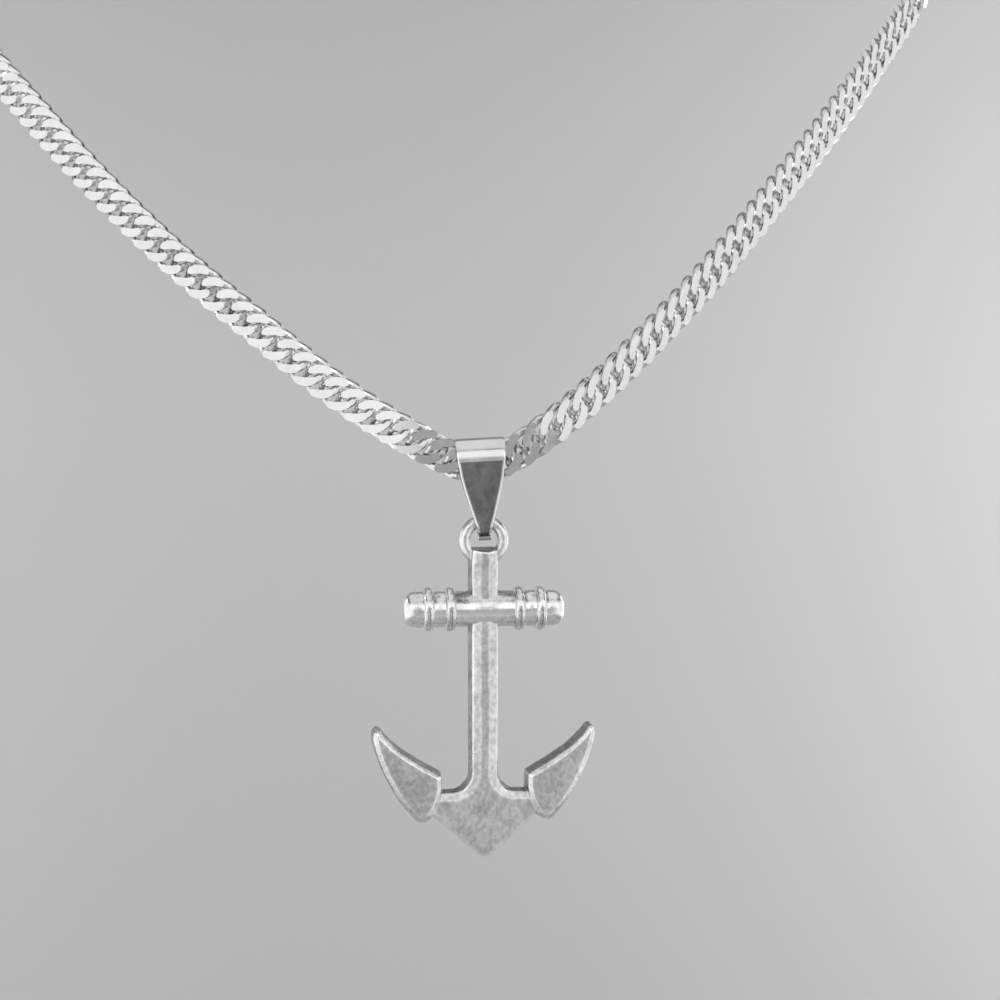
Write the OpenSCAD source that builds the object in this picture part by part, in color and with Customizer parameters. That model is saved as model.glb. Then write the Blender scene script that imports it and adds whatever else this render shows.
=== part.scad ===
// Anchor pendant necklace: a curb chain worn round a neck, a folded bail and a cast anchor.
// Millimetres, +Z up. The wearer faces -Y and the origin is at the nape of the neck.

/* [Chain] */
// Distance between neighbouring links
link_pitch = 2.73; // [2.6:0.01:2.9]
// Half length of a link's wire centreline
link_half_l = 2.2; // [2.1:0.01:2.3]
// Half width of a link's wire centreline
link_half_w = 1.95; // [1.8:0.01:2.1]
// Radius of a link's wire
link_wire_r = 0.54; // [0.4:0.01:0.6]
// Height that the twisted wire rises and falls
link_twist = 0.9; // [0.6:0.01:1.1]
// Height of the flat cuts on the front and back
link_flat = 0.9; // [0.7:0.01:1.3]
// Roll of the two strands about their own length
strand_roll = 22; // [0:1:30]

/* [Anchor] */
// Wire diameter of the anchor's ring
ring_wire = 1.55; // [1.2:0.05:1.9]
// Centreline radius of the anchor's ring
ring_radius = 2.575; // [2.2:0.025:3.2]
// Greatest width of the shank, behind its front
shank_w = 4; // [3:0.05:4.4]
// Thickness of the shank
shank_t = 3.4; // [2.6:0.1:3.8]
// Body diameter of the stock
stock_d = 4.8; // [4:0.1:5.6]
// Length of the stock
stock_len = 21.7; // [16:0.1:26]
// Height of the stock below the ring's centre
stock_drop = 9.15; // [7:0.05:12]
// Width of the bevel round each fluke's face
fluke_bevel = 0.7; // [0.2:0.05:1]

/* [Bail] */
// Sheet thickness of the bail
bail_sheet = 0.45; // [0.4:0.05:0.8]
// Outer radius of the roll that rides on the chain
bail_roll_r = 2.75; // [2.4:0.05:3.2]
// Sideways lean of the bail
bail_lean = -3; // [-6:0.5:6]
// Turn of the bail about the vertical
bail_yaw = -4; // [-15:1:15]

/* [Clasp] */
// Wire radius of the two end rings
end_wire_r = 0.4; // [0.3:0.05:0.5]
// Centreline radius of the two end rings
end_ring_r = 2.3; // [2:0.05:2.6]
// Distance from the clasp's middle to the centre of each eye
eye_x = 6; // [5:0.1:8]

/* [Hidden] */
$fn = 72;
link_turns = [25, 62, 118, 155, 205, 242, 298, 335];
link_rings = len(link_turns);
link_sides = 5;

// The lowest point of the chain, under which the pendant hangs
front = [0, -118.2, -104];
// Height of the ring's centre under the lowest point of the chain
ring_drop = 10.3;

// Control points of the chain's closed route, from the lowest point up its right strand,
// round the neck and down its left strand, measured from the lowest point
route_right = [
    [0, 0, -1], [7, -0.4, 3], [13, 0.4, 7.5], [19.5, 2.2, 13],
    [28, 5.5, 21], [36, 9, 29], [44.5, 14, 38.5], [53, 19.5, 47.5],
    [61.6, 25.7, 57.8], [72.4, 32.5, 71], [81, 45, 82.5], [82.5, 64, 90],
    [77, 82, 96], [63.5, 99, 100], [47, 110, 102.5], [28, 117.5, 104],
    [9.5, 119.5, 104]];
route_left = [
    [-9.5, 119.5, 104], [-28, 117.5, 103.5], [-47, 110, 102], [-63, 99, 99],
    [-76, 82.5, 93], [-81, 65, 84.5], [-79, 49, 73.5], [-71, 37, 61.3],
    [-62, 27, 50.5], [-54, 21, 41], [-45.5, 14.5, 32], [-37, 9.5, 24],
    [-29, 5.8, 17.5], [-21, 3, 10.5], [-13.5, 1.5, 5.5], [-6.5, 0.4, 1.5]];
route = concat(route_right, route_left);
route_n = len(route);
steps = 16;

// A smooth curve that is drawn towards the control points
function route_at(i, t) =
    (pow(1 - t, 3) * route[(i + route_n - 1) % route_n]
    + (3 * pow(t, 3) - 6 * pow(t, 2) + 4) * route[i % route_n]
    + (1 + 3 * t + 3 * pow(t, 2) - 3 * pow(t, 3)) * route[(i + 1) % route_n]
    + pow(t, 3) * route[(i + 2) % route_n]) / 6;
samples = [for (i = [0 : route_n - 1]) for (k = [0 : steps - 1]) route_at(i, k / steps)];
sample_n = len(samples);
function sample(i) = samples[(i + sample_n) % sample_n];
// Running length of the route at each sample
runs = [for (i = 0, s = 0; i <= sample_n; s = s + norm(sample(i + 1) - sample(i)), i = i + 1) s];
loop_len = runs[sample_n];

// Index of the sample just before the length s
function index_of(s, lo, hi) =
    hi - lo < 2 ? lo
    : let (mid = floor((lo + hi) / 2)) runs[mid] > s ? index_of(s, lo, mid) : index_of(s, mid, hi);
function wrap(s) = s < 0 ? s + loop_len : s >= loop_len ? s - loop_len : s;
function point_at(s) =
    let (w = wrap(s), i = index_of(w, 0, sample_n))
    sample(i) + (sample(i + 1) - sample(i)) * (w - runs[i]) / (runs[i + 1] - runs[i]);

// Direction of the chain, and the way that its flat face looks: forward at the front,
// outward beside the neck and backward at the nape
function unit(v) = v / norm(v);
function along(s) = unit(point_at(s + 1.2) - point_at(s - 1.2));
function ease(u) = u <= 0 ? 0 : u >= 1 ? 1 : u * u * (3 - 2 * u);
function turn(s) = 180 * sign(s) * ease((abs(s) - 70) / (loop_len / 2 - 80));
// The strands roll so that their upper edge comes forward, except inside the bail and
// behind the shoulders
function roll(s) = strand_roll * ease((abs(s) - 2) / 14) * (1 - ease((abs(s) - 95) / 60));
function outward(s) =
    let (t = along(s), o = [sin(turn(s)), -cos(turn(s)), 0], n = unit(o - (o * t) * t))
    n * cos(roll(s)) - cross(n, t) * sin(roll(s));

// The links divide what the clasp and its rings leave of the loop
clasp_reach = eye_x + 5.2;
link_n = 2 * round((loop_len / 2 - clasp_reach) / link_pitch);
pitch = (loop_len - 2 * clasp_reach) / link_n;
right_n = link_n / 2;
left_n = link_n / 2;

// One link is a rounded wire loop, twisted so that neighbours pass through each other
function rounded(v) = sign(v) * pow(abs(v), 0.87);
function link_middle(a) = [
    link_half_l * rounded(cos(a)),
    link_half_w * rounded(sin(a)),
    link_twist * (0.25 * sin(4 * a) - sin(2 * a))];
function link_local(a, b) =
    let (
        t = unit(link_middle(a + 2) - link_middle(a - 2)),
        o = [cos(a), sin(a), 0],
        n = unit(o - (o * t) * t),
        p = link_middle(a) + link_wire_r * (cos(b) * n + sin(b) * cross(t, n)))
    [p[0], p[1], max(-link_flat, min(link_flat, p[2]))];
link_shape = [for (a = link_turns) for (k = [0 : link_sides - 1])
    link_local(a, 20 + k * 360 / link_sides)];
link_size = link_rings * link_sides;

function link_points(s) =
    let (p = point_at(s) + front, t = along(s), n = outward(s), w = cross(n, t))
    [for (q = link_shape) p + q[0] * t + q[1] * w + q[2] * n];

function corner(m, j, k) = m * link_size + (j % link_rings) * link_sides + k % link_sides;
function link_faces(m) =
    [for (j = [0 : link_rings - 1]) for (k = [0 : link_sides - 1]) for (h = [0, 1])
        h == 0 ? [corner(m, j, k), corner(m, j + 1, k + 1), corner(m, j + 1, k)]
        : [corner(m, j, k), corner(m, j, k + 1), corner(m, j + 1, k + 1)]];

module chain(first, last) {
    places = [for (i = [first : last]) i * pitch];
    polyhedron(
        points = [for (s = places) for (p = link_points(s)) p],
        faces = [for (m = [0 : len(places) - 1]) for (f = link_faces(m)) f],
        convexity = 10);
}

module chain_left() {
    color("silver")
    chain(-left_n, -1);
}

module chain_right() {
    color("silver")
    chain(0, right_n);
}

// Sets children in the chain's own directions at the length s
module on_route(s) {
    p = point_at(s) + front;
    t = along(s);
    n = outward(s);
    w = cross(n, t);
    multmatrix([
        [t[0], w[0], n[0], p[0]],
        [t[1], w[1], n[1], p[1]],
        [t[2], w[2], n[2], p[2]],
        [0, 0, 0, 1]])
    children();
}

module end_ring() {
    rotate([90, 0, 0])
    rotate_extrude()
    translate([end_ring_r, 0])
    circle(r = end_wire_r);
}

module end_ring_left() {
    color("silver")
    on_route(-left_n * pitch)
    translate([-3, 0, 0])
    end_ring();
}

module end_ring_right() {
    color("silver")
    on_route(right_n * pitch)
    translate([3, 0, 0])
    end_ring();
}

// The clasp lies flat on the nape, with an eye at its tail and the hook's opening at its head
module clasp_outline() {
    circle(r = 1.6);
    translate([-eye_x, 0])
    circle(r = 2.2);
    translate([eye_x - 0.4, 0])
    circle(r = 2.6);
    polygon([
        [-eye_x, -1.6], [1, -1.9], [3.4, -2.5], [eye_x - 0.4, -2.6],
        [eye_x - 0.4, 2.6], [3.4, 2.5], [1, 1.9], [-eye_x, 1.6]]);
    translate([1.4, 2.2])
    circle(r = 0.9);
}

module clasp_openings() {
    translate([-eye_x, 0])
    circle(r = 1.2);
    translate([eye_x - 0.3, 0])
    circle(r = 1.5);
    translate([eye_x - 1.6, 0])
    circle(r = 1.5);
    translate([eye_x - 1.6, -1.5])
    square([1.3, 3]);
}

module clasp() {
    color("silver")
    on_route(loop_len / 2)
    difference() {
        union() {
            linear_extrude(height = 1.6, center = true)
            clasp_outline();
            linear_extrude(height = 2.4, center = true)
            polygon([[-3.4, -1.3], [2, -1.5], [2, 1.5], [-3.4, 1.3]]);
        }
        linear_extrude(height = 4, center = true)
        clasp_openings();
    }
}

// Places children with their zero at the centre of the anchor's ring
module at_ring() {
    translate(front - [0, 0, ring_drop])
    children();
}

// Turns a drawing in X and Z into a plate between two depths
module plate(y_front, y_back) {
    translate([0, y_back, 0])
    rotate([90, 0, 0])
    linear_extrude(height = y_back - y_front)
    children();
}

// The bail seen from the side: a large roll above and a small loop below
roll_z = 14.1 - bail_roll_r;
loop_z = 2.45;
loop_r = 2.1;

module bail_side(roll_r, low_r) {
    slope = asin((roll_r - low_r) / (roll_z - loop_z));
    translate([0, roll_z])
    circle(r = roll_r);
    translate([0, loop_z])
    circle(r = low_r);
    polygon([
        [roll_r * cos(slope), roll_z - roll_r * sin(slope)],
        [-roll_r * cos(slope), roll_z - roll_r * sin(slope)],
        [-low_r * cos(slope), loop_z - low_r * sin(slope)],
        [low_r * cos(slope), loop_z - low_r * sin(slope)]]);
}

// The rear leaf's end laps under the small loop
module bail_lap() {
    difference() {
        intersection() {
            translate([0, loop_z])
            circle(r = loop_r + bail_sheet);
            translate([-0.6, loop_z - 3])
            square([4, 3]);
        }
        translate([0, loop_z])
        circle(r = loop_r - 0.1);
    }
    translate([loop_r - 0.1, loop_z - 0.05])
    square([bail_sheet + 0.1, 1.8]);
}

module bail_profile() {
    difference() {
        bail_side(bail_roll_r, loop_r);
        bail_side(bail_roll_r - bail_sheet, loop_r - 0.5);
    }
    bail_lap();
}

module bail() {
    color("gainsboro")
    at_ring()
    translate([0, 0, loop_z])
    rotate([0, bail_lean, bail_yaw])
    translate([0, 0, -loop_z])
    intersection() {
        rotate([90, 0, 90])
        linear_extrude(height = 8, center = true)
        bail_profile();
        plate(-4, 4)
        polygon([
            [-0.82, -0.6], [0.82, -0.6], [0.88, 1.6], [1.3, 2.8], [2.45, 6.8], [3.1, 10.6],
            [3.25, 12.4], [3.25, 14.4], [-3.25, 14.4], [-3.25, 12.4], [-3.1, 10.6],
            [-2.45, 6.8], [-1.3, 2.8], [-0.88, 1.6]]);
    }
}

// Ring with the flat seat where it joins the shank
module anchor_ring() {
    rotate([90, 0, 0])
    rotate_extrude()
    translate([ring_radius, 0])
    circle(d = ring_wire);
    translate([-1.5, -0.75, -3.2])
    cube([3, 1.5, 1.8]);
}

// Shank with a bevelled front, sides that spread towards the back, and a foot that slopes back
// to the crown
module shank() {
    x = shank_w / 2;
    f = 1.5 - shank_t;
    difference() {
        translate([0, 0, -34.4])
        linear_extrude(height = 34.4 - 2.3)
        polygon([
            [-x, 0.5], [0.62 - x, f + 0.5], [-0.4, f], [0.4, f], [x - 0.62, f + 0.5],
            [x, 0.5], [x, 1.1], [x - 0.4, 1.5], [0.4 - x, 1.5], [-x, 1.1]]);
        translate([0, f, -27.5])
        rotate([5.8, 0, 0])
        translate([-2.5, -3, -8])
        cube([5, 3, 8.5]);
    }
}

// Stock with rounded ends and two collars on each side
module stock() {
    r = stock_d / 2;
    e = stock_len / 2;
    translate([0, 0, -stock_drop])
    rotate([0, 90, 0])
    rotate_extrude()
    union() {
        polygon([
            [0, -e], [r - 1.3, -e], [r - 0.55, 0.35 - e], [r - 0.15, 0.95 - e], [r, 1.7 - e],
            [r, e - 1.7], [r - 0.15, e - 0.95], [r - 0.55, e - 0.35], [r - 1.3, e], [0, e]]);
        for (x = [-7.5, -4.6, 4.6, 7.5])
            polygon([
                [r - 0.5, x - 0.7], [r, x - 0.7], [r + 0.45, x - 0.35], [r + 0.45, x + 0.35],
                [r, x + 0.7], [r - 0.5, x + 0.7]]);
    }
}

// Crown: arms that leave the shank in a curve, above a blunt point
module crown() {
    plate(-1.2, 1.3)
    union() {
        difference() {
            translate([-4.18, -34.4])
            square([8.36, 3.1]);
            for (side = [-1, 1])
                translate([side * 4.18, -31.3])
                circle(r = 2.6);
        }
        polygon([
            [-6.8, -33.9], [-7.1, -36.6], [-0.78, -42.01], [0.78, -42.01],
            [7.1, -36.6], [6.8, -33.9]]);
        translate([0, -41.1])
        circle(r = 1.2);
    }
}

fluke_front = -1.75;
fluke_outline = [
    [5.8, -31.6], [6.3, -34.2], [7.1, -36.6], [7.9, -37.3], [8.9, -37.5], [9.7, -37.1],
    [10.4, -36.2], [11.9, -33.9], [13.3, -31.7], [14.4, -29.2], [15.1, -27.2], [15.25, -26.2],
    [15, -25.3], [14.4, -24.9], [13.7, -25.1], [12.5, -26], [10.4, -27.7], [8.3, -29.3]];

// Removes the front corner of a plate along one edge of its outline
module edge_bevel(p, q) {
    d = q - p;
    translate([p[0], fluke_front, p[1]])
    rotate([0, -atan2(d[1], d[0]), 0])
    translate([norm(d) / 2, 0, 0])
    rotate([45, 0, 0])
    cube([norm(d) + 0.04, fluke_bevel, fluke_bevel], center = true);
}

module fluke() {
    n = len(fluke_outline);
    difference() {
        plate(fluke_front, 1.5)
        polygon(fluke_outline);
        for (i = [0 : n - 1])
            edge_bevel(fluke_outline[i], fluke_outline[(i + 1) % n]);
    }
}

module anchor() {
    color("lightgray")
    at_ring()
    union() {
        anchor_ring();
        shank();
        stock();
        crown();
        fluke();
        mirror([1, 0, 0])
        fluke();
    }
}

chain_left();
chain_right();
end_ring_left();
end_ring_right();
clasp();
bail();
anchor();
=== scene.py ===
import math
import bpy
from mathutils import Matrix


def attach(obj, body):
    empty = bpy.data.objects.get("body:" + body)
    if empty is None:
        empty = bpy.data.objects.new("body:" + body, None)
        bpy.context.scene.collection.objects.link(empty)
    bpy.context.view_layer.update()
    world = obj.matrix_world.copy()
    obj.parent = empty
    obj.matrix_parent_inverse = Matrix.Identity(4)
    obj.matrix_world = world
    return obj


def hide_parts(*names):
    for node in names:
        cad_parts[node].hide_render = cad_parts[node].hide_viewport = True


bl_info = {
    "name": "Anchor Pendant Necklace",
    "version": (1, 0, 0),
    "blender": (4, 5, 0),
    "location": "View3D > Sidebar > Necklace",
    "description": "Builds a curb chain necklace with an anchor pendant and sets it in a studio",
    "category": "Add Mesh",
}

import bpy
import bmesh
from mathutils import Matrix, Vector

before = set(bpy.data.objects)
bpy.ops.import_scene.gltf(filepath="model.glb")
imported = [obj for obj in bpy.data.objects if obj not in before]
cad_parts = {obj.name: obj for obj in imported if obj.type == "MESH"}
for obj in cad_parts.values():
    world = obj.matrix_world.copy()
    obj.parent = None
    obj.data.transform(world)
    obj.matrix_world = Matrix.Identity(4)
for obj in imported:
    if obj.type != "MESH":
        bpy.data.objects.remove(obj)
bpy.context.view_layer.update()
BODY_CHAIN = "necklace"
BODY_BAIL = "bail"
BODY_ANCHOR = "anchor"
MM = 0.001
# Metres within which two points of a mesh are welded
WELD = 0.000002
# Millimetres within which two places count as the same
CLOSE = 1e-4
# Degrees by which a sharp edge turns at least
SHARP = 50

# The chain's route

# Lowest point of the chain, and the control points of its route from there up the right
# strand, round the neck and down the left strand, in millimetres
FRONT = Vector((0, -118.2, -104))
ROUTE = [Vector(p) for p in (
    (0, 0, -1.5), (7, -0.4, 3), (13, 0.4, 7.5), (19.5, 2.2, 13),
    (28, 5.5, 21), (36, 9, 29), (44.5, 14, 38.5), (53, 19.5, 47.5),
    (61.6, 25.7, 57.8), (72.4, 32.5, 71), (81, 45, 82.5), (82.5, 64, 90),
    (77, 82, 96), (63.5, 99, 100), (47, 110, 102.5), (28, 117.5, 104),
    (9.5, 119.5, 104),
    (-9.5, 119.5, 104), (-28, 117.5, 103.5), (-47, 110, 102), (-63, 99, 99),
    (-76, 82.5, 93), (-81, 65, 84.5), (-79, 49, 73.5), (-71, 37, 61.3),
    (-62, 27, 50.5), (-54, 21, 41), (-45.5, 14.5, 32), (-37, 9.5, 24),
    (-29, 5.8, 17.5), (-21, 3, 10.5), (-13.5, 1.5, 5.5), (-6.5, 0.4, 1.5))]
# Samples from one control point to the next
STEPS = 16
# From the chain's lowest point down to the middle of the anchor's ring
RING_DROP = 10.3
RING_CENTRE = FRONT - Vector((0, 0, RING_DROP))
# From the nape to the last link on either side
CLASP_REACH = 11.2
# Wanted distance between links; PITCH is the one that gives a whole number of them
LINK_PITCH = 2.73


def route_at(i, t):
    """A point of the closed route, with t going from 0 to 1 behind control point i."""
    n = len(ROUTE)
    return ((1 - t) ** 3 * ROUTE[i - 1]
            + (3 * t ** 3 - 6 * t ** 2 + 4) * ROUTE[i]
            + (1 + 3 * t + 3 * t ** 2 - 3 * t ** 3) * ROUTE[(i + 1) % n]
            + t ** 3 * ROUTE[(i + 2) % n]) / 6


SAMPLES = [route_at(i, k / STEPS) for i in range(len(ROUTE)) for k in range(STEPS)]
RUNS = [0.0]
for _i in range(len(SAMPLES)):
    RUNS.append(RUNS[-1] + (SAMPLES[(_i + 1) % len(SAMPLES)] - SAMPLES[_i]).length)
LOOP = RUNS[-1]
LINKS = 2 * round((LOOP / 2 - CLASP_REACH) / LINK_PITCH)
PITCH = (LOOP - 2 * CLASP_REACH) / LINKS
RIGHT = LEFT = LINKS // 2

# How a strand lies. Each change starts at a length from the lowest point and takes a run of
# it, in millimetres: it rolls about itself by so many degrees, its flat side turns round
# from the front to the nape, and it rolls back.
STRAND_ROLL = 22
ROLL_START, ROLL_RUN = 2, 14
TURN_START, TURN_RUN = 70, LOOP / 2 - 80
UNROLL_START, UNROLL_RUN = 95, 60
# Half of the length over which the route's direction is taken
AIM_REACH = 1.2


def point_at(s):
    """The point at the length s along the route."""
    s %= LOOP
    lo, hi = 0, len(SAMPLES)
    while hi - lo > 1:
        mid = (lo + hi) // 2
        lo, hi = (lo, mid) if RUNS[mid] > s else (mid, hi)
    a, b = SAMPLES[lo], SAMPLES[(lo + 1) % len(SAMPLES)]
    return a + (b - a) * (s - RUNS[lo]) / (RUNS[lo + 1] - RUNS[lo])


def ease(u):
    """Goes smoothly from 0 to 1 while u does."""
    u = min(max(u, 0), 1)
    return u * u * (3 - 2 * u)


def place_on_route(s):
    """Matrix that sets a piece in the chain's own directions at the length s, in millimetres."""
    away = abs(s)
    along = (point_at(s + AIM_REACH) - point_at(s - AIM_REACH)).normalized()
    turn = math.radians(180 * math.copysign(ease((away - TURN_START) / TURN_RUN), s))
    roll = math.radians(STRAND_ROLL * ease((away - ROLL_START) / ROLL_RUN)
                        * (1 - ease((away - UNROLL_START) / UNROLL_RUN)))
    flat = Vector((math.sin(turn), -math.cos(turn), 0))
    flat = (flat - flat.dot(along) * along).normalized()
    out = flat * math.cos(roll) - flat.cross(along) * math.sin(roll)
    side = out.cross(along)
    m = Matrix((along, side, out)).transposed().to_4x4()
    m.translation = FRONT + point_at(s)
    return m


# Modelling helpers

def clear_selection():
    """Leaves edit mode and deselects every object."""
    if bpy.context.object and bpy.context.object.mode != "OBJECT":
        bpy.ops.object.mode_set(mode="OBJECT")
    bpy.ops.object.select_all(action="DESELECT")


def start_piece(name):
    """Names the object that was just added, which is the active one."""
    obj = bpy.context.object
    obj.name = name
    obj.data.name = name
    return obj


def select_parts(obj, kind, test):
    """In edit mode, selects only the faces, edges or vertices that pass the test."""
    mesh = bmesh.from_edit_mesh(obj.data)
    bpy.context.tool_settings.mesh_select_mode = (kind == "VERT", kind == "EDGE", kind == "FACE")
    for group in (mesh.faces, mesh.edges, mesh.verts):
        for part in group:
            part.select = False
    group = {"VERT": mesh.verts, "EDGE": mesh.edges, "FACE": mesh.faces}[kind]
    for part in group:
        if test(part):
            part.select_set(True)
    mesh.select_flush_mode()
    bmesh.update_edit_mesh(obj.data)


def apply_modifier(obj, kind, **settings):
    """Adds a modifier, sets its values and applies it."""
    mod = obj.modifiers.new(kind.title(), kind)
    for key, value in settings.items():
        setattr(mod, key, value)
    bpy.context.view_layer.objects.active = obj
    bpy.ops.object.modifier_apply(modifier=mod.name)


def soften_edges(obj, width, segments):
    """Rounds the sharp edges."""
    apply_modifier(obj, "BEVEL", width=width, segments=segments, limit_method="ANGLE",
                   angle_limit=math.radians(SHARP))


def face_outward(obj):
    """Welds the mesh and turns its faces outward."""
    clear_selection()
    obj.select_set(True)
    bpy.context.view_layer.objects.active = obj
    bpy.ops.object.mode_set(mode="EDIT")
    bpy.ops.mesh.select_all(action="SELECT")
    bpy.ops.mesh.remove_doubles(threshold=WELD)
    bpy.ops.mesh.normals_make_consistent(inside=False)
    bpy.ops.object.mode_set(mode="OBJECT")


def join(objs, name):
    """Joins objects into one piece."""
    clear_selection()
    for obj in objs:
        obj.select_set(True)
    bpy.context.view_layer.objects.active = objs[0]
    bpy.ops.object.join()
    return start_piece(name)


def settle(obj, matrix):
    """Moves the mesh to its place, from millimetres to metres, and leaves the object at the
    origin."""
    obj.data.transform(Matrix.Scale(MM, 4) @ matrix)
    obj.matrix_world = Matrix.Identity(4)
    obj.data.update()


def finish_piece(obj, body, material, nodes, angle):
    """Gives a piece its material, smooth shading up to the angle, and its place in the frame."""
    if material.name not in obj.data.materials:
        obj.data.materials.clear()
        obj.data.materials.append(material)
    clear_selection()
    obj.select_set(True)
    bpy.context.view_layer.objects.active = obj
    bpy.ops.object.shade_smooth_by_angle(angle=math.radians(angle))
    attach(obj, body)
    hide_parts(*nodes)


def widened(outline, amount):
    """An outline moved outward, at each point by the amount for that place."""
    turn = sum(a[0] * b[1] - b[0] * a[1] for a, b in zip(outline, outline[1:] + outline[:1]))
    points = []
    for i, (x, z) in enumerate(outline):
        (x0, z0), (x1, z1) = outline[i - 1], outline[(i + 1) % len(outline)]
        way = math.copysign(amount(x, z) / math.hypot(x1 - x0, z1 - z0), turn)
        points.append((x + (z1 - z0) * way, z - (x1 - x0) * way))
    return points


def plate(name, outline, y_front, y_wide, y_back, flare, bevel, depth, test=None):
    """A plate with a front outline in X and Z, in millimetres. Its side walls flare outward from
    the front to y_wide, and its front edges, or those that pass the test, are bevelled."""
    wide = widened(outline, flare)
    bpy.ops.mesh.primitive_circle_add(vertices=len(outline), radius=1, fill_type="NGON")
    obj = start_piece(name)
    for vert, (x, z) in zip(obj.data.vertices, wide):
        vert.co = (x, y_back, z)
    bpy.ops.object.mode_set(mode="EDIT")
    bpy.ops.mesh.select_all(action="SELECT")
    bpy.ops.mesh.extrude_region_move(TRANSFORM_OT_translate={"value": (0, y_wide - y_back, 0)})
    bpy.ops.mesh.extrude_region_move(TRANSFORM_OT_translate={"value": (0, y_front - y_wide, 0)})
    bpy.ops.object.mode_set(mode="OBJECT")
    for vert in obj.data.vertices:
        if abs(vert.co.y - y_front) < CLOSE:
            i = min(range(len(wide)), key=lambda i: (vert.co.x - wide[i][0]) ** 2
                    + (vert.co.z - wide[i][1]) ** 2)
            vert.co.x, vert.co.z = outline[i]
    bpy.ops.object.mode_set(mode="EDIT")
    select_parts(obj, "EDGE", lambda e: all(abs(v.co.y - y_front) < CLOSE for v in e.verts)
                 and (test is None or test(*[v.co for v in e.verts])))
    bpy.ops.mesh.bevel(offset=bevel, segments=1, affect="EDGES", clamp_overlap=False)
    bpy.ops.object.mode_set(mode="OBJECT")
    for vert in obj.data.vertices:
        if vert.co.y < y_front + bevel + CLOSE:
            vert.co.y = y_front + (vert.co.y - y_front) * depth / bevel
    face_outward(obj)
    return obj


def open_ends(obj, count):
    """In edit mode, deletes the edge from a ring's last point back to its first, so that the
    ring becomes a path."""
    ends = {0, count - 1}
    select_parts(obj, "EDGE", lambda e: {v.index for v in e.verts} == ends)
    bpy.ops.mesh.delete(type="EDGE_FACE")


def lathe(name, profile, steps):
    """A turned piece about the X axis. The profile's points are (x, radius), in millimetres,
    and both ends lie on the axis."""
    bpy.ops.mesh.primitive_circle_add(vertices=len(profile), radius=1, fill_type="NOTHING")
    obj = start_piece(name)
    for vert, (x, r) in zip(obj.data.vertices, profile):
        vert.co = (x, 0, r)
    bpy.ops.object.mode_set(mode="EDIT")
    open_ends(obj, len(profile))
    bpy.ops.mesh.select_all(action="SELECT")
    bpy.ops.mesh.spin(steps=steps, angle=2 * math.pi, center=(0, 0, 0), axis=(1, 0, 0),
                      use_auto_merge=True)
    bpy.ops.object.mode_set(mode="OBJECT")
    face_outward(obj)
    return obj


def upright_ring(name, radius, wire, segments, wire_segments):
    """A round ring that stands in the X and Z plane."""
    bpy.ops.mesh.primitive_torus_add(major_radius=radius, minor_radius=wire,
                                     major_segments=segments, minor_segments=wire_segments,
                                     rotation=(math.pi / 2, 0, 0))
    ring = start_piece(name)
    bpy.ops.object.transform_apply(location=True, rotation=True, scale=True)
    return ring


def arc(cx, cz, r, start, end, steps):
    """Points on an arc about (cx, cz), from one angle to another, in degrees."""
    return [(cx + r * math.cos(math.radians(start + (end - start) * i / steps)),
             cz + r * math.sin(math.radians(start + (end - start) * i / steps)))
            for i in range(steps + 1)]


# Materials

class Nodes:
    """Short calls for building one material's node tree."""

    def __init__(self, name, metallic=0.0):
        self.material = bpy.data.materials.new(name)
        self.material.use_nodes = True
        self.tree = self.material.node_tree
        self.shader = self.tree.nodes["Principled BSDF"]
        self.shader.inputs["Metallic"].default_value = metallic

    def add(self, kind, **values):
        """Adds a node. A value sets the property of its name or, where there is none, the
        socket."""
        node = self.tree.nodes.new(kind)
        for key, value in values.items():
            if hasattr(node, key):
                setattr(node, key, value)
            else:
                node.inputs[key.replace("_", " ")].default_value = value
        return node

    def link(self, out, into):
        self.tree.links.new(out, into)

    def noise(self, scale, detail, roughness, stretch=None):
        place = self.add("ShaderNodeTexCoord").outputs["Object"]
        if stretch:
            mapping = self.add("ShaderNodeMapping")
            mapping.inputs["Scale"].default_value = stretch
            self.link(place, mapping.inputs["Vector"])
            place = mapping.outputs["Vector"]
        node = self.add("ShaderNodeTexNoise", Scale=scale, Detail=detail, Roughness=roughness)
        self.link(place, node.inputs["Vector"])
        return node.outputs["Fac"]

    def ramp(self, fac, low, high, start=0.0, end=1.0):
        node = self.add("ShaderNodeMapRange")
        for key, value in (("From Min", start), ("From Max", end),
                           ("To Min", low), ("To Max", high)):
            node.inputs[key].default_value = value
        self.link(fac, node.inputs["Value"])
        return node.outputs["Result"]

    def grey(self, value):
        node = self.add("ShaderNodeCombineColor")
        for key in ("Red", "Green", "Blue"):
            self.link(value, node.inputs[key])
        return node.outputs["Color"]

    def calc(self, kind, a, b):
        node = self.add("ShaderNodeMath", operation=kind)
        self.link(a, node.inputs[0])
        if isinstance(b, (int, float)):
            node.inputs[1].default_value = b
        else:
            self.link(b, node.inputs[1])
        return node.outputs["Value"]

    def attribute(self, name):
        return self.add("ShaderNodeAttribute", attribute_name=name).outputs["Fac"]

    def finish(self, colour, roughness, normal):
        self.link(self.grey(colour), self.shader.inputs["Base Color"])
        self.link(roughness, self.shader.inputs["Roughness"])
        self.link(normal, self.shader.inputs["Normal"])
        return self.material

    def bump(self, height, strength, distance):
        node = self.add("ShaderNodeBump", Strength=strength, Distance=distance)
        self.link(height, node.inputs["Height"])
        return node.outputs["Normal"]


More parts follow.
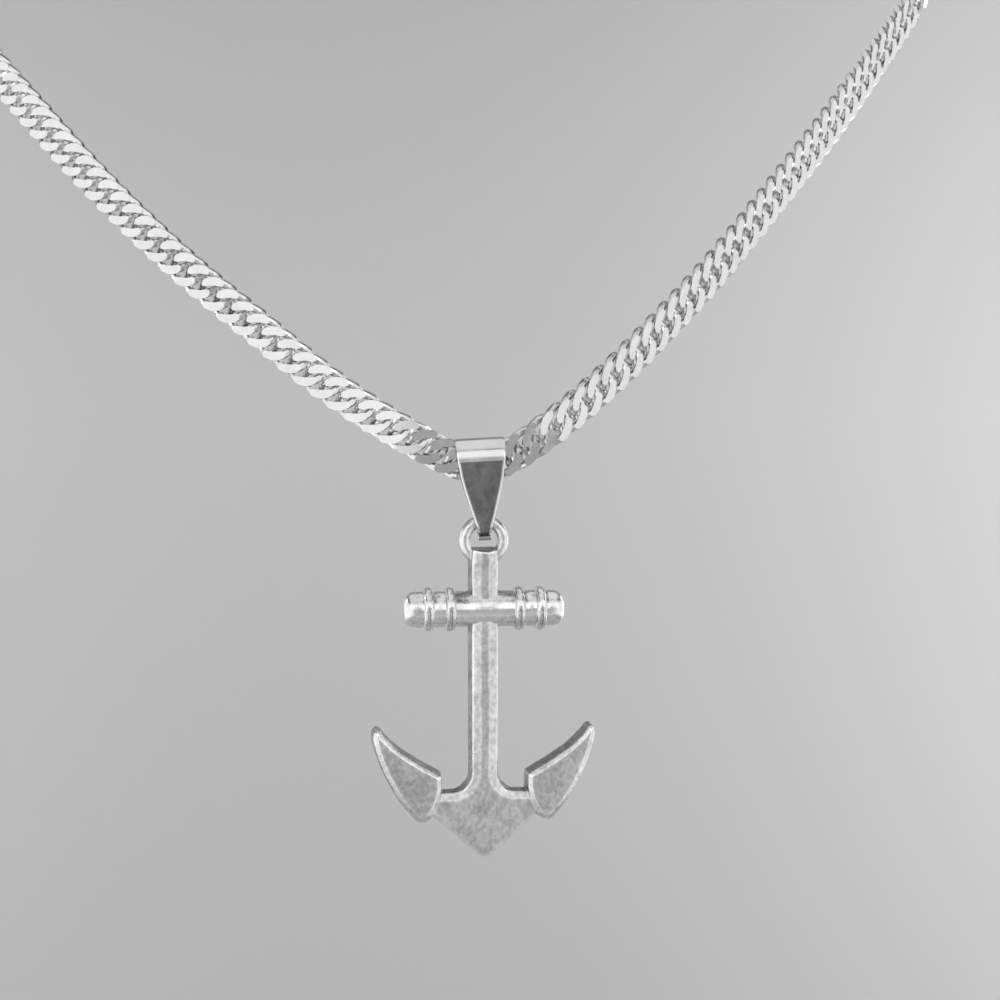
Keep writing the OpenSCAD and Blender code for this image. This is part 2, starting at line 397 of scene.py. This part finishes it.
def polished_steel(name, tone, rough, scratches):
    """Mirror polished sheet and wire with a faint cloudiness and hairline scratches."""
    n = Nodes(name, metallic=1.0)
    cloud = n.noise(420, 4, 0.6)
    fine = n.noise(2600, 2, 0.5, stretch=(1, 0.35, 1))
    return n.finish(n.ramp(cloud, tone - 0.05, tone + 0.04, 0.3, 0.7),
                    n.ramp(cloud, rough * 0.75, rough * 1.5, 0.3, 0.75),
                    n.bump(fine, scratches, 0.00002))


def cast_steel(name, tone, rough, grain):
    """Satin casting: mottled, edges bright from wear and a painted highlight, walls in painted
    shade.
    """
    n = Nodes(name, metallic=1.0)
    wear_and_highlight = n.attribute("worn_edge_and_highlight")
    # Painted shade: the side walls are darkened in the base colour.
    shade = n.calc("MULTIPLY", n.attribute("painted_wall_shade"), -0.4)
    cloud = n.noise(330, 4, 0.6)
    grains = n.noise(3800, 3, 0.6)
    marks = n.noise(1500, 3, 0.6, stretch=(1.15, 1, 0.9))
    mottle = n.calc("ADD", n.ramp(cloud, -0.09, 0.09, 0.35, 0.65),
                    n.ramp(marks, -0.12, 0.12, 0.35, 0.65))
    mottle = n.calc("MULTIPLY", mottle, n.ramp(wear_and_highlight, 1.0, 0.2))
    # Painted highlight on top of wear: the edges, and the whole stock, are brightened in the base
    # colour.
    colour = n.calc("ADD", n.calc("ADD", mottle, shade), n.ramp(wear_and_highlight, tone, tone + 0.28))
    satin = n.ramp(grains, rough - 0.06, rough + 0.1, 0.3, 0.7)
    satin = n.calc("SUBTRACT", satin, n.calc("MULTIPLY", wear_and_highlight, 0.2))
    rise = n.calc("ADD", grains, n.ramp(marks, 0.0, 1.8, 0.35, 0.65))
    return n.finish(colour, satin, n.bump(rise, grain, 0.00003))


def painted_dark_leaf_steel(name, tone):
    """The bail's flat leaf: darkened as a painted dark reflection, and cloudy, with faint smears.
    """
    n = Nodes(name, metallic=1.0)
    cloud = n.noise(650, 5, 0.62, stretch=(1, 1, 0.7))
    fine = n.noise(2900, 3, 0.6)
    # The low tone darkens the leaf as a painted dark reflection.
    return n.finish(n.calc("ADD", n.ramp(cloud, tone - 0.08, tone + 0.1, 0.32, 0.68),
                           n.ramp(fine, -0.03, 0.03, 0.3, 0.7)),
                    n.ramp(cloud, 0.3, 0.2, 0.3, 0.7),
                    n.bump(cloud, 0.2, 0.00005))


def mark_wear_and_painted_light(obj, reach, gain, least=0.0, paint_wall_shade=True):
    """Stores how far each point of the casting stands out from those within reach of it, for
    the brighter edges, partly wear and partly a painted highlight, and how far it looks
    sideways, for the painted shade that darkens the side walls."""
    mesh = bmesh.new()
    mesh.from_mesh(obj.data)
    mesh.normal_update()
    values = []
    for vert in mesh.verts:
        near = [e.other_vert(vert) for e in vert.link_edges]
        out = sum(vert.normal.dot((vert.co - v.co).normalized()) for v in near)
        values.append(out / max(len(near), 1))
    for _ in range(reach):
        values = [(values[v.index] + sum(values[e.other_vert(v).index] for e in v.link_edges))
                  / (1 + len(v.link_edges)) for v in mesh.verts]
    # How far each point looks sideways, for the painted shade on the side walls.
    walls = [max(1 - 1.25 * abs(v.normal.y), 0) if paint_wall_shade else 0.0 for v in mesh.verts]
    mesh.free()
    # The edge mark is partly wear and partly a painted highlight.
    for name, marks in (("worn_edge_and_highlight", [min(max(v * gain, least), 1.0) for v in values]),
                        ("painted_wall_shade", walls)):
        layer = obj.data.attributes.new(name, "FLOAT", "POINT")
        layer.data.foreach_set("value", marks)


# Settings

class NecklaceChainSettings(bpy.types.PropertyGroup):
    wire: bpy.props.FloatProperty(
        name="Wire Radius", description="Radius of a link's wire", default=0.00058,
        min=0.0004, max=0.0007, precision=5, subtype="DISTANCE", unit="LENGTH")
    length: bpy.props.FloatProperty(
        name="Link Half Length", description="Half length of a link's wire centreline",
        default=0.0021, min=0.0018, max=0.0023, precision=5, subtype="DISTANCE", unit="LENGTH")
    width: bpy.props.FloatProperty(
        name="Link Half Width", description="Half width of a link's wire centreline",
        default=0.00195, min=0.0018, max=0.0022, precision=5, subtype="DISTANCE", unit="LENGTH")
    twist: bpy.props.FloatProperty(
        name="Twist", description="Height that a link's wire rises and falls", default=0.00076,
        min=0.0005, max=0.0011, precision=5, subtype="DISTANCE", unit="LENGTH")
    flat: bpy.props.FloatProperty(
        name="Flat Height", description="Height of the flat cuts above a link's middle",
        default=0.0007, min=0.0005, max=0.0013, precision=5, subtype="DISTANCE", unit="LENGTH")
    tone: bpy.props.FloatProperty(
        name="Tone", description="Brightness of the polished steel", default=0.73,
        min=0.0, max=1.0, subtype="FACTOR")


class NecklaceAnchorSettings(bpy.types.PropertyGroup):
    grain: bpy.props.FloatProperty(
        name="Remesh Grain", description="Size of the casting's smallest shapes", default=0.00013,
        min=0.0001, max=0.0004, precision=5, subtype="DISTANCE", unit="LENGTH")
    tone: bpy.props.FloatProperty(
        name="Tone", description="Brightness of the satin casting", default=0.65,
        min=0.0, max=1.0, subtype="FACTOR")
    roughness: bpy.props.FloatProperty(
        name="Roughness", description="Roughness of the satin casting", default=0.36,
        min=0.0, max=1.0, subtype="FACTOR")


class NecklaceBailSettings(bpy.types.PropertyGroup):
    sheet: bpy.props.FloatProperty(
        name="Sheet", description="Thickness of the bail's sheet", default=0.00045,
        min=0.0003, max=0.0008, precision=5, subtype="DISTANCE", unit="LENGTH")
    band: bpy.props.FloatProperty(
        name="Edge Band", description="Width of the sloping band along each side edge",
        default=0.00034, min=0.0001, max=0.0006, precision=5, subtype="DISTANCE", unit="LENGTH")
    slope: bpy.props.FloatProperty(
        name="Edge Slope", description="Depth by which the band slopes back", default=0.00005,
        min=0.0, max=0.0003, precision=5, subtype="DISTANCE", unit="LENGTH")
    # The leaves' low tone is a painted dark reflection.
    leaf_tone: bpy.props.FloatProperty(
        name="Leaf Tone", description="Brightness of the flat leaves", default=0.27,
        min=0.0, max=1.0, subtype="FACTOR")
    tone: bpy.props.FloatProperty(
        name="Tone", description="Brightness of the polished sheet", default=0.8,
        min=0.0, max=1.0, subtype="FACTOR")


class NecklaceStageSettings(bpy.types.PropertyGroup):
    floor: bpy.props.FloatVectorProperty(
        name="Backdrop", description="Colour of the floor and backdrop",
        default=(0.54, 0.54, 0.545), size=3, min=0.0, max=1.0, subtype="COLOR")
    lens: bpy.props.FloatProperty(
        name="Lens", description="Focal length of the camera", default=65.0, min=20, max=200,
        unit="CAMERA")


# Chain

class NECKLACE_OT_chain(bpy.types.Operator):
    """Builds the two strands of curb chain"""
    bl_idname = "necklace.chain"
    bl_label = "Build Chain"

    # How far a link leans along the chain, and from the middle of its wire out to its side cuts
    lean, side_cut = 0.35, 0.42
    # Powers that shape a link's corners by turns; the lower one makes them fuller
    slack_corner, full_corner = 1.0, 0.8
    # Points along and round a link's wire, and half of the angle, in radians, over which the
    # wire's direction is taken
    wire_steps, wire_sides, aim = 20, 10, 0.04

    def middle(self, a, length, width, twist):
        """The wire's middle at an angle round the link: a leaning, squarish, twisted oval."""
        c, d = math.cos(a), math.sin(a)
        power = self.slack_corner if c * d < 0 else self.full_corner
        y = width * math.copysign(abs(d) ** power, d)
        return Vector((length * math.copysign(abs(c) ** power, c) + self.lean * y, y,
                       -twist * math.sin(2 * a)))

    def link(self, wire, length, width, twist, flat):
        """One link about its own middle: a twisted ring of wire with flat cuts all round."""
        bpy.ops.mesh.primitive_torus_add(major_radius=width, minor_radius=wire,
                                         major_segments=self.wire_steps,
                                         minor_segments=self.wire_sides)
        obj = start_piece("link")
        for vert in obj.data.vertices:
            x, y, z = vert.co
            a = math.atan2(y, x)
            b = math.atan2(z, math.hypot(x, y) - width)
            middle = self.middle(a, length, width, twist)
            run = (self.middle(a + self.aim, length, width, twist)
                   - self.middle(a - self.aim, length, width, twist)).normalized()
            out = Vector((math.cos(a), math.sin(a), 0))
            out = (out - out.dot(run) * run).normalized()
            vert.co = middle + wire * (math.cos(b) * out - math.sin(b) * run.cross(out))
        side = width + self.side_cut
        for cut in ((0, 0, flat), (0, 0, -flat), (0, side, 0), (0, -side, 0)):
            bpy.ops.object.mode_set(mode="EDIT")
            bpy.ops.mesh.select_all(action="SELECT")
            bpy.ops.mesh.bisect(plane_co=cut, plane_no=cut, use_fill=True, clear_outer=True)
            bpy.ops.object.mode_set(mode="OBJECT")
        face_outward(obj)
        return obj

    def execute(self, context):
        s = context.scene.necklace_chain
        steel = polished_steel("polished_chain_steel", s.tone, 0.16, 0.12)
        link = self.link(s.wire / MM, s.length / MM, s.width / MM, s.twist / MM, s.flat / MM)
        for name, node, first, last in (("curb_chain_left", "chain_left", -LEFT, -1),
                                        ("curb_chain_right", "chain_right", 0, RIGHT)):
            copies = []
            for i in range(first, last + 1):
                copy = link.copy()
                copy.data = link.data.copy()
                context.collection.objects.link(copy)
                settle(copy, place_on_route(i * PITCH))
                copies.append(copy)
            strand = join(copies, name)
            finish_piece(strand, BODY_CHAIN, steel, [node], 22)
        bpy.data.objects.remove(link)
        return {"FINISHED"}


# Clasp

class NECKLACE_OT_clasp(bpy.types.Operator):
    """Builds the claw clasp and the two end rings at the nape"""
    bl_idname = "necklace.clasp"
    bl_label = "Build Clasp"

    # A ring's and its wire's radius, how far past the last link its middle is, and the rounding
    # of the clasp's edges, in millimetres
    ring_r, wire_r, ring_reach, edge_radius = 2.3, 0.4, 3, 0.3

    def execute(self, context):
        steel = polished_steel("polished_clasp_steel", 0.8, 0.18, 0.12)
        for name, node, s, way in (("round_end_ring_left", "end_ring_left", -LEFT * PITCH, -1),
                                   ("round_end_ring_right", "end_ring_right", RIGHT * PITCH, 1)):
            clear_selection()
            ring = upright_ring(name, self.ring_r, self.wire_r, 40, 14)
            settle(ring, place_on_route(s) @ Matrix.Translation((way * self.ring_reach, 0, 0)))
            finish_piece(ring, BODY_CHAIN, steel, [node], 60)
        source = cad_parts["clasp"]
        clear_selection()
        body = source.copy()
        body.data = source.data.copy()
        context.collection.objects.link(body)
        body.parent = None
        body.matrix_world = Matrix.Identity(4)
        body.hide_render = False
        body.name = "claw_clasp"
        face_outward(body)
        body.data.transform(Matrix.Scale(1 / MM, 4))
        soften_edges(body, self.edge_radius, 3)
        body.data.transform(Matrix.Scale(MM, 4))
        finish_piece(body, BODY_CHAIN, steel, ["clasp"], 40)
        return {"FINISHED"}


# Bail

class NECKLACE_OT_bail(bpy.types.Operator):
    """Builds the folded bail"""
    bl_idname = "necklace.bail"
    bl_label = "Build Bail"

    # Outer radius and middle of the roll above and of the loop below, in millimetres
    top_r, top_z, low_r, low_z = 2.85, 10.8, 2.1, 2.45
    # Degrees by which the bail hangs turned about Z and tilted about Y
    turned, tilted = -4, -3
    # Where the rear leaf, the front leaf and the lap end round the loop, in degrees
    rear_end, front_end, lap_end = 268, 224, 254
    # The lap is this much thicker than the sheet, lies this far outside the loop, and has an
    # edge band of its own width
    lap_thicker, lap_out, lap_band = 1.6, 0.04, 0.25
    # It runs straight up to lap_straight above the loop's middle, and leans in up to lap_top
    lap_straight, lap_top, lap_lean = 0.9, 1.7, 0.06
    edge_radius = 0.05
    # Heights, and half of the strip's width at each
    widths = ((-0.5, 0.85), (1.2, 0.92), (2, 1.05), (3.1, 1.4), (5.1, 1.95), (6.8, 2.42),
              (8.5, 2.8), (10.6, 3.12), (12.4, 3.25), (14.4, 3.25))
    # The leaves with the painted dark reflection end this far under the roll's middle. In front
    # they go on round the bend, from this height down. Faces under this area belong to the rounded
    # edges.
    dull_end, bend_top, edge_area = 0.2, 2, 0.05

    def half_width(self, z):
        """Half of the strip's width at a height."""
        for (z0, w0), (z1, w1) in zip(self.widths, self.widths[1:]):
            if z <= z1:
                return w0 + (w1 - w0) * max(z - z0, 0) / (z1 - z0)
        return self.widths[-1][1]

    def leaf(self, start, end, steps=16):
        """Points along a flat leaf between its two ends, where its width changes."""
        return [(start[0] + (end[0] - start[0]) * k / steps,
                 start[1] + (end[1] - start[1]) * k / steps) for k in range(1, steps)]

    def strip(self, name, path, sheet, band):
        """A strip of sheet along a path of (y, z) points, with a line down it a band's width in
        from each side edge."""
        bpy.ops.mesh.primitive_circle_add(vertices=len(path), radius=1, fill_type="NOTHING")
        obj = start_piece(name)
        bpy.ops.object.mode_set(mode="EDIT")
        open_ends(obj, len(path))
        bpy.ops.object.mode_set(mode="OBJECT")
        for vert, (y, z) in zip(obj.data.vertices, path):
            vert.co = (0, y, z)
        for step in range(3):
            bpy.ops.object.mode_set(mode="EDIT")
            if step:
                first = step * len(path)
                select_parts(obj, "VERT", lambda v: v.index >= first)
            else:
                bpy.ops.mesh.select_all(action="SELECT")
            bpy.ops.mesh.extrude_region_move()
            bpy.ops.object.mode_set(mode="OBJECT")
        for i, vert in enumerate(obj.data.vertices):
            width = self.half_width(vert.co.z)
            vert.co.x = (-width, band - width, width - band, width)[i // len(path)]
        face_outward(obj)
        apply_modifier(obj, "SOLIDIFY", thickness=sheet, offset=0, use_even_offset=True)
        return obj

    def slope_edges(self, obj, path, band, depth):
        """Sets the outer corners of a strip's side edges back towards the middle of the sheet."""
        middle = [Vector((0, y, z)) for y, z in path]
        for vert in obj.data.vertices:
            if abs(vert.co.x) < self.half_width(vert.co.z) - band * 0.5:
                continue
            here = Vector((0, vert.co.y, vert.co.z))
            near = min(middle, key=lambda p: (p - here).length)
            away = here - near
            axis = Vector((0, 0, min(max(near.z, self.low_z), self.top_z)))
            if away.dot(near - axis) > 0:
                vert.co -= away.normalized() * depth

    def execute(self, context):
        s = context.scene.necklace_bail
        sheet, band = s.sheet / MM, s.band / MM
        steel = polished_steel("mirror_bail_steel", s.tone, 0.2, 0.08)
        # The flat leaves get the painted dark reflection.
        dull = painted_dark_leaf_steel("painted_dark_bail_leaf", s.leaf_tone)
        clear_selection()
        half = sheet / 2
        big, small = self.top_r - half, self.low_r - half
        lean = math.degrees(math.asin((big - small) / (self.top_z - self.low_z)))
        rear = arc(0, self.low_z, small, self.rear_end, 360 - lean, 16)
        roll = arc(0, self.top_z, big, -lean, 180 + lean, 40)
        front = arc(0, self.low_z, small, 180 + lean, self.front_end, 8)
        path = (rear + self.leaf(rear[-1], roll[0]) + roll + self.leaf(roll[-1], front[0])
                + front)
        loop = self.strip("bail_loop", path, sheet, band)
        self.slope_edges(loop, path, band, s.slope / MM)
        soften_edges(loop, self.edge_radius, 2)
        clear_selection()
        lap_r = self.low_r + self.lap_out
        lap = (arc(0, self.low_z, lap_r, self.lap_end, 360, 18)
               + [(lap_r, self.low_z + self.lap_straight),
                  (lap_r - self.lap_lean, self.low_z + self.lap_top)])
        end = self.strip("bail_lap", lap, sheet * self.lap_thicker, self.lap_band)
        soften_edges(end, self.edge_radius, 2)
        bail = join([loop, end], "folded_bail")
        bail.data.materials.append(steel)
        bail.data.materials.append(dull)
        for face in bail.data.polygons:
            _, y, z = face.center
            bend = y < 0 and z < self.bend_top
            leaf = abs(face.normal.x) < 0.1 and (abs(face.normal.y) > 0.97 or bend)
            face.material_index = int(leaf and z < self.top_z - self.dull_end
                                      and face.area > self.edge_area)
        place = (Matrix.Translation(RING_CENTRE + Vector((0, 0, self.low_z)))
                 @ Matrix.Rotation(math.radians(self.turned), 4, "Z")
                 @ Matrix.Rotation(math.radians(self.tilted), 4, "Y")
                 @ Matrix.Translation((0, 0, -self.low_z)))
        settle(bail, place)
        finish_piece(bail, BODY_BAIL, steel, ["bail"], 25)
        return {"FINISHED"}


# Anchor

class NECKLACE_OT_anchor(bpy.types.Operator):
    """Builds the cast anchor with its ring"""
    bl_idname = "necklace.anchor"
    bl_label = "Build Anchor"

    # Millimetres, with Z from the middle of the anchor's ring
    ring_r, ring_wire = 2.575, 0.775
    stock_half, stock_r, stock_z = 10.75, 2.4, -9.15
    # Places of two collars, which the other two mirror; half width of a collar's foot; its height
    collars, collar_half, collar_rise = (-7.5, -4.6), 0.69, 0.42
    # Half width of its ridge; how far out the rails beside its slot lie, and half their width
    ridge_half, rail_out, rail_half = 0.6, 0.4, 0.25
    # Where the slot opens and closes, in degrees from the top round the front, and the degrees
    # over which it does
    slot_open, open_run, slot_close, close_run = 80, 16, 150, 20
    # Half width of the shank, and the radius of the corners between it and the arms
    shank_half, corner_r = 1.38, 2.8
    # The shank stands prouder than the crown, and sinks to it over a run that starts at sink_z
    shank_rise, sink_z, sink_run = 0.65, -26.5, 7.5
    # Z just under the arms' upper edge: the shank is above it and the crown below
    arms_z = -34

    def ring(self):
        clear_selection()
        return upright_ring("ring", self.ring_r, self.ring_wire, 64, 20)

    def body(self):
        """Shank and crown in one plate. A wide bevel runs down the shank and out along the
        arms."""
        x = self.shank_half
        side = [(x, -1.5)] + [(x, -3 - 4 * k) for k in range(6)]
        side += [(x, self.sink_z - 0.6 * k) for k in range(8)]
        corner = arc(x + self.corner_r, -31.1, self.corner_r, 180, 270, 14)
        right = side + corner + [(6.8, -33.9), (7.1, -36.6)]
        tip = [(0.78, -42.01)] + arc(0, -41.1, 1.2, -42, -90, 4)[1:]
        half = right + tip
        outline = half + [(-x, z) for x, z in reversed(half) if x > CLOSE]
        clear_selection()
        front = -1.25
        body = plate("body", outline, front, y_wide=0.5, y_back=1.3,
                     flare=lambda x, z: (0.1 + 0.3 * (z > self.arms_z)
                                         + 0.22 * ease((4 - abs(x)) / 2) * (z > self.arms_z)),
                     bevel=0.95, depth=0.45,
                     test=lambda a, b: ((a.z + b.z) / 2 > self.arms_z - 0.2
                                        and abs(a.x + b.x) > 1))
        for vert in body.data.vertices:
            x, y, z = vert.co
            # The arms' bevel narrows away from the shank
            if y < front + 0.05 and abs(x) > 1.5 and z < -33:
                vert.co.z += 0.15 * ease((abs(x) - 1.5) / 2.5)
            if y < 0:
                vert.co.y -= self.shank_rise * (1 - ease((self.sink_z - z) / self.sink_run))
        return body

    def stock(self):
        """Turned bar with rounded ends and four collars that split round a slot in front."""
        e, r = self.stock_half, self.stock_r
        profile = [(-e, 0.0), (-e, 1.05), (-e + 0.08, 1.4), (-e + 0.26, 1.74), (-e + 0.55, 2.06),
                   (-e + 0.95, 2.27), (-e + 1.45, 2.37), (-e + 2.0, r)]
        across = (0.7, 0.62, 0.56, 0.5, 0.42, 0.34, 0.26, 0.18, 0.1, 0.03)
        for c in self.collars:
            profile += [(c - d, r) for d in across] + [(c + d, r) for d in reversed(across)]
        profile += [(-x, radius) for x, radius in reversed(profile)]
        clear_selection()
        bar = lathe("stock", profile, 120)
        for vert in bar.data.vertices:
            x, y, z = vert.co
            d = min(abs(abs(x) + c) for c in self.collars)
            if d > self.collar_half:
                continue
            # A collar is one ridge, and two rails with a groove between them along the slot
            below_top = math.degrees(math.atan2(-y, z))
            slot = (ease((below_top - self.slot_open) / self.open_run)
                    * (1 - ease((below_top - self.slot_close) / self.close_run)))
            foot = 0.12 * ease((self.collar_half - d) / 0.08)
            from_rail = (d - self.rail_out) / self.rail_half
            ridge = self.collar_rise * math.sqrt(max(1 - (d / self.ridge_half) ** 2, 0))
            rails = self.collar_rise * math.sqrt(max(1 - from_rail ** 2, 0))
            rise = foot + ridge * (1 - slot) + (rails - 0.2 * (d < 0.12)) * slot
            scale = (r + rise) / math.hypot(y, z)
            vert.co.y, vert.co.z = y * scale, z * scale
        bar.data.transform(Matrix.Translation((0, 0, self.stock_z)))
        return bar

    def fluke(self, side):
        """One fluke, right of the shank where side is 1 and left of it where side is -1."""
        outline = [(5.85, -31.3), (5.85, -33.0), (6.2, -34.6), (6.75, -35.8), (7.25, -36.8),
                   (7.8, -37.3), (8.65, -37.4), (9.1, -37.2), (9.7, -36.5), (10.2, -35.95),
                   (11.0, -34.95), (11.8, -33.7), (12.5, -32.4), (13.15, -31.15), (13.8, -29.6),
                   (14.35, -28.0), (14.7, -26.7), (14.8, -26.0), (14.7, -25.4), (14.4, -25.0),
                   (14.1, -25.1), (13.5, -25.9), (12.3, -27.1), (11.2, -28.05), (9.8, -28.95),
                   (8.2, -30.0), (6.8, -30.75)]
        clear_selection()
        return plate("fluke", [(side * x, z) for x, z in outline], -1.75, y_wide=0.9,
                     y_back=1.5, flare=lambda x, z: 0.25, bevel=0.55, depth=0.38)

    def execute(self, context):
        s = context.scene.necklace_anchor
        steel = cast_steel("cast_anchor_steel", s.tone, s.roughness, 0.28)
        casting = join([self.ring(), self.body(), self.fluke(1), self.fluke(-1)], "casting")
        apply_modifier(casting, "REMESH", mode="VOXEL", voxel_size=s.grain / MM, adaptivity=0.0)
        apply_modifier(casting, "SMOOTH", factor=0.5, iterations=4)
        mark_wear_and_painted_light(casting, reach=2, gain=9.0)
        stock = self.stock()
        # The least value brightens the whole stock, a painted highlight over all of it.
        mark_wear_and_painted_light(stock, reach=1, gain=3.0, least=0.6, paint_wall_shade=False)
        anchor = join([casting, stock], "cast_anchor")
        settle(anchor, Matrix.Translation(RING_CENTRE))
        finish_piece(anchor, BODY_ANCHOR, steel, ["anchor"], 60)
        return {"FINISHED"}


# Stage

# Name, size and place in metres, and power in watts, of each light that is aimed at the pendant
SOFTBOXES = (
    ("front_softbox", (1.0, 0.34), (0.0, -0.545, 0.135), 1.1),
    ("front_fill", (0.44, 0.5), (0.0, -0.56, -0.25), 0.27),
    ("top_softbox", (0.7, 0.6), (0.0, -0.118, 0.304), 1.0),
    ("left_softbox", (0.72, 0.56), (-0.37, -0.27, -0.155), 1.38),
    ("right_softbox", (0.72, 0.56), (0.375, -0.26, -0.155), 1.22))


class NECKLACE_OT_stage(bpy.types.Operator):
    """Sets the backdrop, the lights and the camera"""
    bl_idname = "necklace.stage"
    bl_label = "Build Stage"

    # The sweep in metres: its floor's height, its back, and the bend between them; how far it
    # reaches forward, up, and to either side
    floor_z, back_y, bend = -0.5, 0.8, 0.4
    front_y, high_z, side_x = -1.6, 1.6, 1.8
    # Where the camera stands, in degrees and metres from the point that it looks at, and that
    # point's place in millimetres from the chain's lowest point
    azimuth, elevation, reach = -8, 3, 0.2395
    look_at = (2.1, -0.65, -4.95)
    # How far under the chain's lowest point the softboxes are aimed, in millimetres
    aim_drop = 12
    # Size and power of the two lights on the backdrop, and the right one's place, in metres
    backdrop_size, backdrop_power, backdrop_place = (0.5, 1.0), 5.0, (0.75, 0.35, -0.1)
    # Colour of the dim light from all round
    dim_grey = (0.06, 0.06, 0.062, 1)

    def light(self, name, size, place, energy, aim):
        """A softbox at a place, aimed at a point."""
        data = bpy.data.lights.new(name, "AREA")
        data.shape = "RECTANGLE"
        data.size, data.size_y = size
        data.energy = energy
        obj = bpy.data.objects.new(name, data)
        bpy.context.collection.objects.link(obj)
        obj.location = place
        obj.rotation_euler = (Vector(aim) - Vector(place)).to_track_quat("-Z", "Y").to_euler()

    def sweep(self, colour):
        """Floor and backdrop in one sheet of paper."""
        back_y, floor_z, bend = self.back_y, self.floor_z, self.bend
        path = ([(self.front_y, floor_z)] + arc(back_y - bend, floor_z + bend, bend, -90, 0, 24)
                + [(back_y, self.high_z)])
        clear_selection()
        bpy.ops.mesh.primitive_circle_add(vertices=len(path), radius=1, fill_type="NOTHING")
        sweep = start_piece("studio_sweep")
        for vert, (y, z) in zip(sweep.data.vertices, path):
            vert.co = (-self.side_x, y, z)
        bpy.ops.object.mode_set(mode="EDIT")
        open_ends(sweep, len(path))
        bpy.ops.mesh.select_all(action="SELECT")
        bpy.ops.mesh.extrude_region_move(TRANSFORM_OT_translate={"value": (2 * self.side_x, 0, 0)})
        bpy.ops.mesh.normals_make_consistent(inside=False)
        bpy.ops.object.mode_set(mode="OBJECT")
        bpy.ops.object.shade_smooth()
        n = Nodes("studio_paper")
        n.shader.inputs["Base Color"].default_value = (*colour, 1)
        n.shader.inputs["Roughness"].default_value = 0.85
        sweep.data.materials.append(n.material)
        return sweep

    def camera(self, lens):
        """The photograph's point of view."""
        data = bpy.data.cameras.new("camera")
        data.lens = lens
        data.sensor_width = 36
        data.clip_start = 0.01
        camera = bpy.data.objects.new("camera", data)
        bpy.context.collection.objects.link(camera)
        azimuth, elevation = math.radians(self.azimuth), math.radians(self.elevation)
        look = Vector((-math.sin(azimuth) * math.cos(elevation),
                       math.cos(azimuth) * math.cos(elevation), -math.sin(elevation)))
        camera.location = (FRONT + Vector(self.look_at)) * MM - look * self.reach
        camera.rotation_euler = look.to_track_quat("-Z", "Y").to_euler()
        return camera

    def execute(self, context):
        s = context.scene.necklace_stage
        self.sweep(s.floor)
        world = bpy.data.worlds.new("studio")
        context.scene.world = world
        world.use_nodes = True
        glow = world.node_tree.nodes["Background"]
        glow.inputs["Color"].default_value = self.dim_grey
        glow.inputs["Strength"].default_value = 1.0
        pendant = (FRONT - Vector((0, 0, self.aim_drop))) * MM
        for name, size, place, energy in SOFTBOXES:
            self.light(name, size, place, energy, pendant)
        x, y, z = self.backdrop_place
        for side, way in (("left", -1), ("right", 1)):
            self.light("backdrop_" + side, self.backdrop_size, (way * x, y, z),
                       self.backdrop_power, (way * x * 0.2, self.back_y, z))
        context.scene.camera = self.camera(s.lens)
        context.scene.view_settings.view_transform = "Standard"
        return {"FINISHED"}


# Panel and registration

class NECKLACE_PT_panel(bpy.types.Panel):
    """Lists the necklace's pieces"""
    bl_idname = "NECKLACE_PT_panel"
    bl_label = "Anchor Pendant Necklace"
    bl_space_type = "VIEW_3D"
    bl_region_type = "UI"
    bl_category = "Necklace"

    def draw(self, context):
        for label, settings, operator, fields in (
                ("Chain", context.scene.necklace_chain, "necklace.chain",
                 ("wire", "length", "width", "twist", "flat", "tone")),
                ("Anchor", context.scene.necklace_anchor, "necklace.anchor",
                 ("grain", "tone", "roughness")),
                ("Bail", context.scene.necklace_bail, "necklace.bail",
                 ("sheet", "band", "slope", "leaf_tone", "tone")),
                ("Stage", context.scene.necklace_stage, "necklace.stage", ("floor", "lens"))):
            box = self.layout.box()
            box.label(text=label)
            for field in fields:
                box.prop(settings, field)
            box.operator(operator)
        self.layout.operator("necklace.clasp")


SETTINGS = (
    ("necklace_chain", NecklaceChainSettings),
    ("necklace_anchor", NecklaceAnchorSettings),
    ("necklace_bail", NecklaceBailSettings),
    ("necklace_stage", NecklaceStageSettings),
)
CLASSES = (
    NECKLACE_OT_chain,
    NECKLACE_OT_clasp,
    NECKLACE_OT_bail,
    NECKLACE_OT_anchor,
    NECKLACE_OT_stage,
    NECKLACE_PT_panel,
)


def register():
    for name, group in SETTINGS:
        bpy.utils.register_class(group)
        setattr(bpy.types.Scene, name, bpy.props.PointerProperty(type=group))
    for cls in CLASSES:
        bpy.utils.register_class(cls)


def unregister():
    for cls in reversed(CLASSES):
        bpy.utils.unregister_class(cls)
    for name, group in reversed(SETTINGS):
        delattr(bpy.types.Scene, name)
        bpy.utils.unregister_class(group)


def main():
    register()
    bpy.ops.necklace.chain()
    bpy.ops.necklace.clasp()
    bpy.ops.necklace.bail()
    bpy.ops.necklace.anchor()
    bpy.ops.necklace.stage()


if __name__ == "__main__":
    main()
